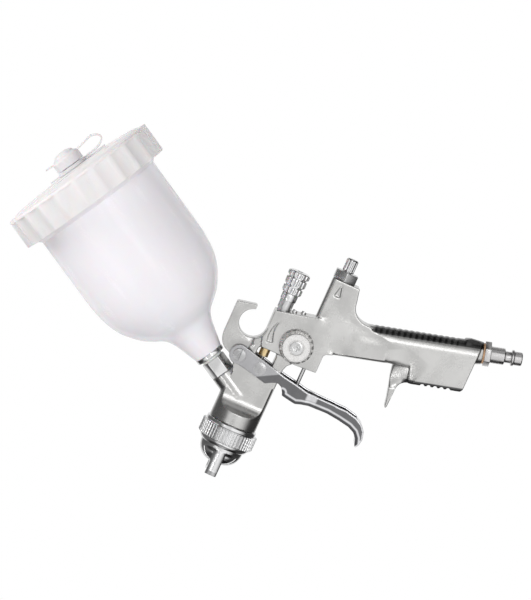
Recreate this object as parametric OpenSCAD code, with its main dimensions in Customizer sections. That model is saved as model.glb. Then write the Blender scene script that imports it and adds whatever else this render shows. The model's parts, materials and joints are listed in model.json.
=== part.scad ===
// Gravity-feed spray gun, assembled from separate pieces.
// X runs back along the spray axis from the air cap's face, Z is up, Y is across.
// The cup stands on a tilted axis of its own, and the grip hangs on a raked one.

/* [Barrel and neck] */
// Radius of the barrel
barrel_r = 15.7; // [15.2:0.1:16]
// Half width of the milled neck
neck_half_w = 7.6; // [7:0.1:7.8]
// Radius of the cutter that leaves the neck
neck_cutter_r = 9.5; // [8:0.5:11]
// Distance from the cap's face to the neck's flats
neck_x = 46; // [44:0.5:48]
// Distance from the cap's face to the barrel's front shoulder
barrel_x = 28.3; // [28.3:0.1:28.6]
// Radius of the threaded nose under the ring
nose_r = 14.4; // [14:0.1:14.6]

/* [Air cap and ring] */
// Radius at the back of the cap's dome
dome_r = 14.2; // [13.6:0.1:14.3]
// Length of the cap's dome
dome_l = 12; // [11:0.5:12]
// How far the horns stand ahead of the cap's face
horn_reach = 7; // [5:0.5:8]
// Width of a horn
horn_w = 7.5; // [6:0.5:8]
// Radius over the ring's knurl
ring_r = 18.5; // [18:0.1:19.5]
// Length of the ring
ring_l = 15.5; // [15:0.1:15.5]
// Number of grooves round the knurl
ring_grooves = 4; // [2:1:5]

/* [Fluid tip and needle] */
// Radius of the tip's orifice
tip_hole_r = 0.7; // [0.6:0.05:0.9]
// Radius of the needle
needle_r = 1.25; // [1:0.05:1.3]
// Radius of the brass sleeve that the trigger pushes
sleeve_r = 3.25; // [3:0.05:3.5]

/* [Cup] */
// Tilt of the cup back from the vertical
cup_tilt = 30; // [26:1:34]
// Place on the spray axis where the cup's axis meets it
cup_x = 44.5; // [44:0.5:45]
// Radius of the cup's upper wall
cup_r = 43.5; // [40:0.5:45]
// Wall of the cup
cup_wall = 1.8; // [1.5:0.1:2.5]
// Radius over the lid's ribs
lid_r = 53.2; // [52.5:0.1:54]
// Height of the lid's skirt
lid_h = 20.3; // [20:0.1:21]
// Number of wide flutes round the lid
lid_flutes = 24; // [18:1:30]
// Width across the flats of the cup's hex neck
cup_hex = 14; // [13:0.5:15]

/* [Hook] */
// Radius of the hook's mouth
hook_r = 9.1; // [8.5:0.1:9.5]
// Half thickness of the hook's arm
hook_half_w = 5; // [4:0.25:6]

/* [Rear block and valves] */
// Half width of the rear block
block_half_w = 9.5; // [9:0.1:9.6]
// Radius of the air valve's housing at the back
housing_r = 7.2; // [7:0.1:7.4]
// Depth of the air valve below the spray axis
valve_z = 27.5; // [27:0.1:28]
// Radius of the spread dial where it meets the block
dial_r = 11; // [10:0.5:12]
// Radius of the dial's face
dial_face_r = 9; // [8:0.5:9.5]
// Length of the dial
dial_l = 9.5; // [8:0.5:11]

/* [Trigger] */
// Distance from the cap's face to the pivot
pivot_x = 71.3; // [71:0.1:72]
// Height of the pivot above the spray axis
pivot_z = 14.3; // [14:0.1:15]
// Thickness of the trigger's plates
plate_t = 1.6; // [1.2:0.1:2]
// Radius of the pivot pin
pivot_r = 2.5; // [2:0.1:2.8]

/* [Grip] */
// Half width of the grip
grip_half_w = 10; // [9.5:0.5:11.5]
// Rounding of the grip's back
spine_r = 9; // [7:0.5:9.5]
// Rounding of the grip's front edges
front_round = 4.5; // [3:0.5:5]
// Number of finger notches under the guard
notch_count = 7; // [5:1:7]
// Radius of the air passage in the grip
passage_r = 3.8; // [3:0.1:4]

/* [Air inlet] */
// Radius of the plug's nose
plug_nose_r = 4.4; // [4:0.1:4.5]
// Width across the flats of the plug's hexagon
plug_hex = 14; // [13:0.5:15]

/* [Hidden] */
$fn = 96;
over = 0.5;            // cutters pass a face by this much
fit = 0.05;            // radial clearance of a piece that turns or slides
gap = 0.3;             // space between pieces that move apart
hex_to_r = 1 / sqrt(3);

ring_x = dome_l + 0.5;
cap_flange_r = 15.4;
cap_flange_x = [ring_x + 1.1, ring_x + 3.2];
cup_seat = 21.7;       // face of the boss, along the cup's axis
collar_at = 34.5;
neck_at = 37.5;
skirt_at = 159;
lid_top = skirt_at + lid_h;
lid_crown = lid_top + 3.4;
block_bottom = -34.7;
needle_end_x = 112;
pusher_r = 3;          // cross pin of the trigger that pushes the needle
pusher = [68.5, -1.3];
washer_t = 0.5;
tip_seat_r = 6.1;
spool_r = 3.35;
dial_screw_r = 4.2;
screw_slot = 1;        // width of the screwdriver slots
fan_x = 91;
fan_z = -16.4;
block_floor = 5.2;
tail_half_w = 8.8;
mark_depth = 0.7;
notch_r = 1.3;
hook_x = 92.7;
hook_z = block_floor + hook_r;
housing_end = 140.5;
grip_rake = 15;
grip_bottom = -124.6;
plug_base = [134.3, -127.4];
handle_dir = [sin(grip_rake), -cos(grip_rake)];

// Points on an arc in the XZ or XY plane, from angle a0 to a1
function arc(cx, cy, r, a0, a1, n) =
    [for (i = [0:n]) let (a = a0 + (a1 - a0) * i / n) [cx + r * cos(a), cy + r * sin(a)]];

// A point at a distance and angle from a centre
function polar(cx, cy, r, a) = [cx + r * cos(a), cy + r * sin(a)];

// Points on an oval's outline, from angle a0 to a1
function oval(cx, cy, rx, ry, a0, a1, n) =
    [for (i = [0:n]) let (a = a0 + (a1 - a0) * i / n) [cx + rx * cos(a), cy + ry * sin(a)]];

// A quarter of an ellipse, from the tip of its x axis to the tip of its y axis
function bulge(x0, r0, x1, r1, n) =
    [for (i = [0:n]) let (a = 90 * i / n) [r0 + (r1 - r0) * sin(a), x1 - (x1 - x0) * cos(a)]];

// Turns [radius, x] points round the spray axis
module turned(points) rotate([0, 90, 0]) rotate_extrude() polygon(points);

// A cylinder along X, between two places
module xcyl(x0, x1, r, r2 = undef)
    translate([x0, 0, 0]) rotate([0, 90, 0])
        cylinder(h = x1 - x0, r1 = r, r2 = is_undef(r2) ? r : r2);

// A cylinder along Y, between two places
module ycyl(y0, y1, r, r2 = undef)
    translate([0, y0, 0]) rotate([-90, 0, 0])
        cylinder(h = y1 - y0, r1 = r, r2 = is_undef(r2) ? r : r2);

module hexagon(h, across) cylinder(h = h, r = across * hex_to_r, $fn = 6);

// Extrudes an outline drawn in X and Z, evenly about the centre plane
module plate(half_w) translate([0, half_w, 0]) rotate([90, 0, 0]) linear_extrude(2 * half_w) children();

// Stands its children on the cup's axis
module on_cup() translate([cup_x, 0, 0]) rotate([0, cup_tilt, 0]) children();

// Places its children along the grip: their Z runs up the grip
module on_grip(at) translate([at.x, 0, at.y]) rotate([0, -grip_rake, 0]) children();

module at_valve() translate([0, 0, -valve_z]) children();

module at_pivot() translate([pivot_x, 0, pivot_z]) children();

// A rectangle with two corner radii, for the grip's section
module grip_section(depth) {
    w = grip_half_w;
    union() {
        translate([-depth + front_round, -w]) square([depth - front_round - spine_r, 2 * w]);
        translate([-depth, -w + front_round]) square([depth - spine_r, 2 * (w - front_round)]);
        translate([-spine_r - over, -w + spine_r]) square([spine_r + over, 2 * (w - spine_r)]);
        for (s = [-1, 1]) {
            translate([-depth + front_round, s * (w - front_round)]) circle(front_round);
            translate([-spine_r, s * (w - spine_r)]) circle(spine_r);
        }
    }
}

// --- body ---

module neck_cutters() {
    for (s = [-1, 1]) {
        translate([neck_x, s * (neck_half_w + neck_cutter_r), -40]) cylinder(h = 80, r = neck_cutter_r);
        translate([neck_x, s > 0 ? neck_half_w : -neck_half_w - 30, -40]) cube([40, 30, 80]);
    }
}

module neck() difference() {
    xcyl(barrel_x, 64.5, barrel_r);
    neck_cutters();
}

// The plate that joins the barrel to the rear block, round the window
module web() plate(neck_half_w) polygon([
    [60, -15.2], [72, -14.8], [76.5, -16.2], [80.3, -20], [90, -20], [88, 2], [81.5, 9.5],
    [77, 11], [76, 17], [72, 19], [66, 16.5], [55, 12], [50, 0]
]);

module hook() difference() {
    plate(hook_half_w) polygon(concat(
        [[65, 12], [67.5, 17.5]],
        arc(80, 18.6, 10.7, 165, 90, 8),
        [[101.5, 29.3], [102.2, 28.4], [104.6, 17], [104, 16.2], [99.6, 16.2], [98.8, 17], [98, 20.2]],
        [[96.4, 22.6], [hook_x, 23.3], [hook_x, block_floor - 1], [80, -4], [66, -4]]
    ));
    translate([hook_x, 0, hook_z]) ycyl(-20, 20, hook_r);
}

module rear_block() difference() {
    plate(block_half_w) polygon(concat(
        [[81.5, 9.5]], arc(hook_x, hook_z, hook_r + 0.4, 208, 262, 6),
        [[106.6, block_floor], [112.4, -20.4], [118, -34], [118, -40], [95, -40], [93.4, -35.6]],
        [[91.8, block_bottom], [80.3, block_bottom], [79.4, -20], [79.6, -17.4], [81.5, -14.8]]
    ));
    // Shallow milled step beside the round boss
    for (s = [-1, 1]) difference() {
        translate([72, s > 0 ? block_half_w - 1.6 : -block_half_w - 3, -20]) cube([24, 4.6, 31]);
        translate([fan_x, 0, fan_z + 1.3]) ycyl(-20, 20, 21);
    }
}

// The air valve's housing and the tail below it
module tail() {
    at_valve() xcyl(98, housing_end, housing_r);
    plate(tail_half_w) polygon(concat(
        [[108, -21.6], [housing_end, -21.6], [housing_end, -38.4], [132, -40.3]],
        arc(132.5, -51.5, 11.2, 95, 175, 10),
        [[121, -56], [104, -56]]
    ));
}

function guard_upper() = [[104, -77.9], [97.5, -79.2], [90, -81.4], [83, -83.2], [77.6, -84.2]];

module grip() difference() {
    intersection() {
        union() {
            on_grip([141.5, -126.5]) translate([0, 0, -6]) linear_extrude(103) grip_section(22.6);
            on_grip([141.5, -126.5]) translate([0, 0, -6]) linear_extrude(52) grip_section(34);
            plate(tail_half_w) polygon([[98, -38], [118, -38], [120, -60], [104, -60]]);
        }
        plate(30) polygon([
            [92, -30], [124, -30], [120.4, -50], [150, -90], [150, grip_bottom], [108.4, grip_bottom],
            [106.6, -123.6], [97.6, -90], [104.8, -78.5], [104.6, -75]
        ]);
    }
    // Finger notches down the front of the grip's foot
    for (i = [0:notch_count - 1])
        translate([99.2, 0, -96] + 4.15 * i * [handle_dir.x, 0, handle_dir.y])
            ycyl(-20, 20, notch_r);
}

module guard() plate(5) polygon(concat(
    guard_upper(),
    [[77.2, -84.6], [78.2, -85.4], [90, -85.6]],
    arc(90.5, -93.2, 7.6, 88, 10, 8),
    [[101, -100], [112, -100], [108, -78]]
));

module inlet_boss() on_grip([plug_base.x, plug_base.y])
    cylinder(h = 12, r1 = 7.2, r2 = 9);

module body_bores() {
    // Nose: recess for the distributor, then the fluid tip's seat and the needle's bore
    xcyl(17, 22.9, 11.5);
    xcyl(22, 32, tip_seat_r);
    xcyl(30, 50, 3.2);
    xcyl(49, 65, 4.5);
    xcyl(80, 93, sleeve_r + fit);
    xcyl(92, needle_end_x, 4.2);
    // Fluid way up to the cup, and the adapter's seat
    on_cup() cylinder(h = 40, r = 3);
    on_cup() translate([0, 0, 11]) cylinder(h = 20, r = 5.1);
    on_cup() translate([0, 0, cup_seat]) cylinder(h = 12, r = 8.4);
    // Window round the needle
    plate(20) polygon(concat(
        arc(79.5, 3, 2, 90, 0, 4), arc(79.5, -5.7, 2, 0, -90, 4),
        [[64, -7.7], [64, 5]]
    ));
    // Air valve chamber, stem way and gland seat
    at_valve() {
        xcyl(75, 85, 4.05);
        xcyl(84, 107, 2.2);
        xcyl(106, 150, 5.6);
    }
    // Spread valve
    translate([fan_x, 0, fan_z]) ycyl(-20, 6, 5.8);
    // Air ways: forward under the window, down to the valve, down the grip
    translate([0, 0, -11.4]) xcyl(20, fan_x - 1, 1.9);
    translate([98, 0, -28]) cylinder(h = 12, r = 1.6);
    translate([0, 0, fan_z]) xcyl(fan_x + 1, 99, 1.6);
    on_grip([plug_base.x, plug_base.y]) translate([0, 0, -2]) cylinder(h = 101, r = passage_r);
    // Trigger pivot
    at_pivot() ycyl(-20, 20, pivot_r + fit / 2);
}

// Engraved marks on both sides: a tapered arc round the dial, and an arrow on the housing
module marks() for (s = [-1, 1]) {
    translate([0, s > 0 ? block_half_w - mark_depth + over : -block_half_w + mark_depth - over, 0])
        plate(over) polygon(concat(
            [for (i = [0:12]) polar(fan_x, fan_z, 19.2, 106 - 56 * i / 12)],
            [for (i = [12:-1:0]) polar(fan_x, fan_z, 14.6 + 4.6 * i / 12, 106 - 56 * i / 12)]
        ));
    translate([0, s > 0 ? tail_half_w - mark_depth + 1 : -tail_half_w + mark_depth - 1, 0])
        plate(1) polygon([[130, -25], [130, -29.3], [139, -27]]);
}

module gun_body() color("silver") difference() {
    union() {
        xcyl(17.6, barrel_x + 1, nose_r);
        neck();
        on_cup() translate([0, 0, 3]) cylinder(h = cup_seat - 3, r = 8);
        web();
        hook();
        rear_block();
        tail();
        grip();
        guard();
        inlet_boss();
    }
    body_bores();
    marks();
}

// --- spray head ---

module fluid_nozzle() color("gainsboro") turned([
    [tip_hole_r, 0.4], [1.9, 0.4], [2.1, 5], [6.8, 11.8], [9.4, 13], [9.4, 17.5], [6, 17.5], [6, 29.6],
    [3.2, 29.6], [3.2, 13], [1.7, 6.5], [tip_hole_r, 2.6]
]);

module air_distributor() color("darkgray") difference() {
    turned([[9.6, 14.2], [11.3, 14.2], [11.3, 22.8], [6.2, 22.8], [6.2, 17.6], [9.6, 17.6]]);
    for (a = [0:45:315]) rotate([a, 0, 0]) translate([0, 0, 8]) xcyl(15, 25, 1.1);
}

// One horn of the cap, drawn in X and Y
module horn() translate([0, 0, -horn_w / 2]) linear_extrude(horn_w)
    polygon([[-horn_reach, 8.3], [-horn_reach, 11], [-4, 12.2], [dome_l, 14], [dome_l, 5], [4, 4.2]]);

module air_cap() color("silver") difference() {
    union() {
        turned(concat(
            [[2.6, 0], [3.4, 0]],
            bulge(0.6, 4.3, dome_l, dome_r, 10),
            [[dome_r, cap_flange_x[0]], [cap_flange_r, cap_flange_x[0]], [cap_flange_r, cap_flange_x[1]],
             [11.7, cap_flange_x[1]], [11.7, 13], [7, 9], [2.6, 3.4]]
        ));
        intersection() {
            for (s = [0, 180]) rotate([s, 0, 0]) horn();
            xcyl(-20, dome_l, dome_r);
        }
    }
    // Keeps the horns out of the cap's hollow
    turned([[0, -1], [2.6, -1], [2.6, 3.4], [7, 9], [11.7, 13], [11.7, 20], [0, 20]]);
    for (s = [-1, 1]) {
        // Small holes beside the tip, and the horns' own, leaning in
        translate([0, 0, s * 5.2]) xcyl(-1, 8, 0.5);
        for (x = [-4.5, -1]) translate([x, s * 4, 0]) rotate([-90 * s, 0, 0]) rotate([0, -35, 0])
            cylinder(h = 6, r = 0.7);
    }
}

module air_cap_seal() color("white")
    turned([[14.55, cap_flange_x[1] + 0.1], [15.4, cap_flange_x[1] + 0.1], [15.4, cap_flange_x[1] + 1],
            [14.55, cap_flange_x[1] + 1]]);

module air_cap_ring() color("gainsboro") {
    back = ring_x + ring_l;
    pitch = 9.6 / ring_grooves;
    difference() {
        turned([
            [dome_r + gap, ring_x], [dome_r + gap + 0.6, ring_x], [16.4, ring_x + 2.2], [16.4, 15.6],
            [ring_r - 0.6, 15.8], [ring_r, 16.4], [ring_r, 25.4], [ring_r - 0.6, 26], [16.8, 26.2],
            [16.8, back], [nose_r + fit, back], [nose_r + fit, 17.3], [cap_flange_r + fit, 17.3],
            [cap_flange_r + fit, cap_flange_x[0] - fit], [dome_r + gap, cap_flange_x[0] - fit]
        ]);
        for (i = [0:ring_grooves - 1]) translate([17.6 + pitch * (i - 0.1), 0, 0]) turned([
            [ring_r - 0.5, -0.3], [ring_r + 1, -0.3], [ring_r + 1, 0.3], [ring_r - 0.5, 0.3]
        ]);
    }
}

// --- needle ---

module fluid_needle() color("lightgray") turned([
    [0, 0.9], [0.45, 0.9], [needle_r, 7.5], [needle_r, 88], [2, 88], [2, 91], [needle_r, 91],
    [needle_r, needle_end_x], [0, needle_end_x]
]);

module needle_sleeve() color("goldenrod") difference() {
    xcyl(75.8, 87.9, sleeve_r);
    xcyl(75, 90, needle_r);
}

module needle_packing() color("white") difference() {
    xcyl(50.1, 57, 4.4);
    xcyl(50, 60, needle_r + fit);
}

module packing_nut() color("goldenrod") difference() {
    union() {
        xcyl(57, 63.8, 4.4);
        translate([63.8, 0, 0]) rotate([0, 90, 0]) hexagon(1.2, 7.5);
    }
    xcyl(50, 70, needle_r + fit);
}

module needle_guide() color("silver") difference() {
    union() {
        xcyl(93, 110, 4.1);
        xcyl(109, 126, 4.7);
    }
    xcyl(92.9, 124, 3.2);
    xcyl(90, 130, 2.2);
}

// A wire wound round the spray axis, swept turn by turn along straight chords
module coil_spring(x0, x1, r, wire, turns) {
    steps = 12;
    count = turns * steps;
    ring = [for (i = [0:count]) let (a = 360 * i / steps)
        [x0 + (x1 - x0) * i / count, r * cos(a), r * sin(a), a]];
    sides = 6;
    function around(p) = [for (k = [0:sides - 1]) let (b = 360 * k / sides)
        [p[0] + wire * sin(b), (r + wire * cos(b)) * cos(p[3]), (r + wire * cos(b)) * sin(p[3])]];
    points = [for (p = ring) each around(p)];
    walls = [for (i = [0:count - 1], k = [0:sides - 1]) let (n = (k + 1) % sides)
        [i * sides + k, (i + 1) * sides + k, (i + 1) * sides + n, i * sides + n]];
    ends = [[for (k = [0:sides - 1]) k], [for (k = [sides - 1:-1:0]) count * sides + k]];
    polyhedron(points, concat(walls, ends), convexity = 10);
}

module needle_spring() color("gray") coil_spring(88.6, 123.4, 2.65, 0.35, 11);

module fluid_lock_ring() color("silver") difference() {
    xcyl(114.6, 119.3, 5.3);
    xcyl(110, 130, 4.7 + fit);
}

// Rear end stop of the needle: three knurled bands of growing radius
module fluid_knob() color("silver") difference() {
    turned([
        [0, 119.6], [6.2, 119.6], [6.6, 120], [6.6, 123.7], [6, 124.1], [6, 124.9], [6.9, 125.2],
        [6.9, 129.6], [6.3, 130], [6.3, 130.6], [7.3, 130.9], [7.3, 133.9], [6.8, 134.5], [0, 134.5]
    ]);
    xcyl(119, 129, 4.7 + fit);
}

// --- air valve ---

module air_valve_stem() color("silver") at_valve() union() {
    xcyl(60.4, 124, needle_r);
    xcyl(112.2, 114.2, 4.2);
}

module air_valve_seal() color("dimgray") at_valve() difference() {
    xcyl(110.4, 112.2, 3.9);
    xcyl(110, 113, needle_r);
}

module air_valve_seat() color("goldenrod") at_valve() difference() {
    xcyl(107.2, 110.3, 5.6);
    xcyl(100, 120, 2.6);
}

module air_valve_gland() color("silver") at_valve() difference() {
    xcyl(80.2, 84.8, 4);
    xcyl(70, 90, needle_r + fit);
}

module air_valve_spring() color("gray") at_valve() coil_spring(115, 133, 3.4, 0.4, 7);

module air_valve_nut() color("silver") at_valve() difference() {
    union() {
        xcyl(134, 141, 5.5);
        translate([140.6, 0, 0]) rotate([0, 90, 0]) rotate([0, 0, 30]) hexagon(5.9, 14.4);
    }
    xcyl(130, 150, 2.2 + fit);
}

module air_micrometer() color("silver") at_valve() union() {
    xcyl(136, 147, 2.2);
    turned([[0, 146.8], [3.8, 146.8], [3.9, 147.4], [3.9, 154.9], [3.4, 155.5], [0, 155.5]]);
}

// --- spread valve ---

module at_fan() translate([fan_x, 0, fan_z]) children();

module fan_valve_bush() color("silver") at_fan() difference() {
    ycyl(-block_half_w - 0.4, 5.9, 5.7);
    ycyl(-20, 20, 3.4);
    translate([0, 2, 0]) xcyl(-10, 10, 1.4);
    translate([0, 0, 5]) ycyl(0, 4, 1.6);
}

module fan_valve_spool() color("goldenrod") at_fan() difference() {
    ycyl(-11, 5.6, spool_r);
    translate([0, 2, 0]) xcyl(-10, 10, 1.2);
    ycyl(-12, -6, 1.4);
}

module fan_dial() color("silver") at_fan() {
    y0 = -block_half_w - 0.8;
    difference() {
        ycyl(y0 - dial_l, y0, dial_face_r, dial_r);
        ycyl(y0 - 1.4, y0 + 1, spool_r);
        ycyl(y0 - 20, y0, 1.4);
        ycyl(y0 - dial_l - 1, y0 - dial_l + 0.8, dial_screw_r + 0.4);
    }
}

module fan_dial_screw() color("gray") at_fan() {
    face = -block_half_w - 0.8 - dial_l;
    difference() {
        union() {
            ycyl(face - 0.7, face + 0.8, dial_screw_r);
            ycyl(face, -6, 1.4);
        }
        for (a = [0, 90]) rotate([0, a, 0])
            translate([-1.9, face - 1, -screw_slot / 2]) cube([3.8, 1.2, screw_slot]);
    }
}

// --- trigger, drawn in X and Z ---

function trigger_front() = [
    [65.4, 13], [62.8, 0], [61, -8], [62.6, -10.6], [64.2, -14], [64.3, -16], [63, -18.6], [60.4, -20.2],
    [58.3, -21], [57.4, -26], [56.7, -30.6], [58, -34.4], [59, -39], [59.3, -52], [58.4, -60], [57, -68],
    [55, -72.4], [52, -75], [47.6, -76.5]
];

function trigger_back() = [
    [46.6, -77.4], [49, -79], [53, -79.7], [58, -78.4], [61.6, -75.4], [64.4, -70.2], [66, -63],
    [66.4, -45], [66.7, -35], [68.5, -27], [70, -18], [71.5, -12], [74, -2]
];

module trigger_outline() polygon(concat(
    trigger_front(), trigger_back(), arc(pivot_x, pivot_z, 6.5, -5, 170, 16)
));

module trigger() color("gainsboro") difference() {
    plate(8.2 + plate_t) trigger_outline();
    // Channel between the plates, open to the back
    plate(8.2) polygon(concat(
        [[50, 30], [50, -17.2], [60, -21.8]],
        [[60.1, -26.2], [59.3, -30.4], [60.6, -34.2], [61.6, -39], [61.9, -52], [61, -60.4], [59.6, -68.2],
         [58.6, -71.4], [72, -71.4], [84, -40], [84, 30]]
    ));
    at_pivot() ycyl(-20, 20, pivot_r + fit);
    translate([pusher.x, 0, pusher.y]) ycyl(-20, 20, pusher_r + fit);
}

module trigger_pivot_pin() color("silver") at_pivot() difference() {
    union() {
        ycyl(-8.2, 11.5, pivot_r);
        ycyl(10.1, 11.5, 4.2);
    }
    ycyl(-12, -2, 1.2);
}

module trigger_pivot_screw() color("silver") at_pivot() difference() {
    union() {
        ycyl(-11.5, -10.1, 4.2);
        ycyl(-10.2, -8.2, pivot_r);
        ycyl(-8.3, -2.4, 1.2);
    }
    translate([-6, -12, -screw_slot / 2]) cube([12, 1.3, screw_slot]);
}

module needle_pusher() color("silver") translate([pusher.x, 0, pusher.y]) difference() {
    outside = 8.2 + plate_t;
    union() {
        ycyl(-outside - washer_t, outside + washer_t, pusher_r);
        for (s = [-1, 1]) translate([0, s * (outside + washer_t / 2), 0])
            ycyl(-washer_t / 2, washer_t / 2, pusher_r + 1);
    }
    // Fork over the needle
    translate([-5, -2.2, -0.7]) cube([10, 4.4, 10]);
}

// --- cup ---

module cup_adapter() color("silver") on_cup() difference() {
    union() {
        translate([0, 0, 12]) cylinder(h = cup_seat - 11.9, r = 5);
        translate([0, 0, cup_seat]) hexagon(11.2, cup_hex);
        translate([0, 0, 32.8]) cylinder(h = 9.2, r = 5.6);
    }
    cylinder(h = 60, r = 3.4);
}

module cup_seal() color("white") on_cup() translate([0, 0, 33]) difference() {
    cylinder(h = 1.2, r = 7);
    translate([0, 0, -1]) cylinder(h = 4, r = 5.6 + fit);
}

module cup_bush() color("silver") on_cup() difference() {
    union() {
        translate([0, 0, collar_at]) cylinder(h = neck_at - collar_at, r = 9.8);
        translate([0, 0, neck_at - 0.1]) cylinder(h = 5.5, r = 7.4);
    }
    cylinder(h = 60, r = 5.6 + fit);
}

module cup_strainer() color("whitesmoke") on_cup() difference() {
    translate([0, 0, 43]) cylinder(h = 17, r1 = 6, r2 = 3.2);
    translate([0, 0, 42.2]) cylinder(h = 17, r1 = 5.6, r2 = 2.8);
    for (z = [46.5, 50.5, 54.5]) for (a = [0:60:300]) translate([0, 0, z]) rotate([0, 0, a])
        xcyl(1, 9, 1.1);
}

function cup_outer() = [
    [9.8, neck_at], [11.2, 43], [12.6, 48], [14.6, 54], [18, 59.5], [24.5, 64], [29.5, 68], [34.5, 74.5],
    [38.3, 80.5], [41.2, 88.5], [43, 99], [cup_r, 108], [cup_r, 157]
];

function cup_inner() = [
    [cup_r - cup_wall, 157], [cup_r - cup_wall, 108], [43 - cup_wall, 99], [41.2 - cup_wall, 89],
    [38.3 - cup_wall, 81.8], [34.5 - cup_wall, 76], [29.5 - cup_wall, 70], [24, 66], [16.6, 61.8],
    [12.6, 56], [10.8, 49], [7.5, 43]
];

module paint_cup() color("white") on_cup() rotate_extrude() polygon(concat(
    cup_outer(),
    [[47.4, 160], [47.4, 176], [44, 176], [43.6, 162]],
    cup_inner(),
    [[7.5, neck_at]]
));

module lid_gasket() color("whitesmoke") on_cup() translate([0, 0, 176.05]) difference() {
    cylinder(h = 1.5, r = 47.2);
    translate([0, 0, -1]) cylinder(h = 4, r = 42);
}

module cup_lid() color("whitesmoke") on_cup() difference() {
    union() {
        translate([0, 0, skirt_at]) cylinder(h = lid_h - 1.2, r = lid_r);
        translate([0, 0, lid_top - 1.2]) cylinder(h = 1.2, r1 = lid_r, r2 = lid_r - 1.2);
        translate([0, 0, lid_top]) cylinder(h = lid_crown - lid_top, r1 = lid_r - 5, r2 = 14);
    }
    // Space over the cup's rim
    translate([0, 0, skirt_at - 1]) cylinder(h = 177.6 - skirt_at + 1, r = 47.8);
    translate([0, 0, 177.5]) cylinder(h = 2.5, r1 = 41, r2 = 14);
    // Flutes round the skirt
    for (i = [0:lid_flutes - 1]) rotate([0, 0, 360 * (i + 0.5) / lid_flutes])
        translate([lid_r + 3.4, 0, skirt_at - 1]) cylinder(h = lid_h - 1.2, r = 5.2, $fn = 32);
    translate([0, 0, 170]) cylinder(h = 30, r = 2.5);
}

module vent_base() color("white") on_cup() difference() {
    union() {
        translate([0, 0, lid_crown + 0.05]) cylinder(h = 2.4, r = 10);
        translate([0, 0, lid_crown + 0.05]) cylinder(h = 6, r = 6.5);
        translate([-17, -2.5, lid_crown + 0.4]) cube([9, 5, 1]);
        translate([8, -3, lid_crown + 0.05]) cube([17, 6, 0.9]);
    }
    translate([0, 0, 170]) cylinder(h = 30, r = 2.5);
}

module vent_cap() color("white") on_cup() difference() {
    union() {
        translate([0, 0, 185.5]) rotate_extrude() polygon(concat(
            [[0, 0], [9.6, 0], [9.6, 5.5]], [[8.8, 6.6], [7, 7.8]],
            [for (i = [1:6]) let (a = 90 * i / 6) [7 * cos(a), 7.8 + 2.6 * sin(a)]]
        ));
        translate([-15, -2.5, 191.2]) cube([7, 5, 1.2]);
    }
    translate([0, 0, 180]) cylinder(h = 9.6, r = 6.5 + fit);
}

// The loop of soft plastic that keeps the vent's cap on the lid
module vent_strap() color("white") on_cup() translate([0, 1.5, 0]) rotate([90, 0, 0])
    linear_extrude(3) polygon(concat(
        [[9.9, 191.4]], oval(16.5, 189.2, 9, 4, 65, -90, 16), [[10.2, 184.9], [10.2, 183.8]],
        oval(16.5, 189.2, 10.1, 5.1, -90, 68, 16), [[9.9, 192.6]]
    ));

// --- inlet ---

module passage_plugs() color("silver") {
    for (p = [[111.1, -12], [109.8, -6.4]]) translate([p.x - 3, 0, p.y]) rotate([0, 12.7, 0]) rotate([0, 90, 0])
        cylinder(h = 4.2, r = 1.6);
}

module inlet_washer() color("peru") on_grip([plug_base.x, plug_base.y]) translate([0, 0, -1]) difference() {
    cylinder(h = 1, r = 6.6);
    translate([0, 0, -1]) cylinder(h = 3, r = 4.1);
}

module air_inlet_plug() color("silver") on_grip([plug_base.x, plug_base.y]) rotate([180, 0, 0]) difference() {
    union() {
        translate([0, 0, -8]) cylinder(h = 10, r = passage_r - fit);
        translate([0, 0, 1]) hexagon(4, plug_hex);
        rotate_extrude() polygon([
            [0, 4.9], [5.35, 4.9], [5.35, 14], [3.7, 14.6], [3.7, 18.4], [5.2, 18.8], [5.2, 20],
            [plug_nose_r, 20.4], [plug_nose_r, 25], [3.8, 25.6], [0, 25.6]
        ]);
    }
    translate([0, 0, -9]) cylinder(h = 40, r = 2.5);
}

gun_body();
fluid_nozzle();
air_distributor();
air_cap();
air_cap_seal();
air_cap_ring();
fluid_needle();
needle_sleeve();
needle_packing();
packing_nut();
needle_guide();
needle_spring();
fluid_lock_ring();
fluid_knob();
air_valve_stem();
air_valve_seal();
air_valve_seat();
air_valve_gland();
air_valve_spring();
air_valve_nut();
air_micrometer();
fan_valve_bush();
fan_valve_spool();
fan_dial();
fan_dial_screw();
trigger();
trigger_pivot_pin();
trigger_pivot_screw();
needle_pusher();
cup_adapter();
cup_seal();
cup_bush();
cup_strainer();
paint_cup();
lid_gasket();
cup_lid();
vent_base();
vent_cap();
vent_strap();
passage_plugs();
inlet_washer();
air_inlet_plug();
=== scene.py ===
"""Looks of the gravity-feed spray gun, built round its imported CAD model."""

import json
import math
from contextlib import contextmanager

import bmesh
import bpy
import numpy as np
from mathutils import Matrix, Vector


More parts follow.
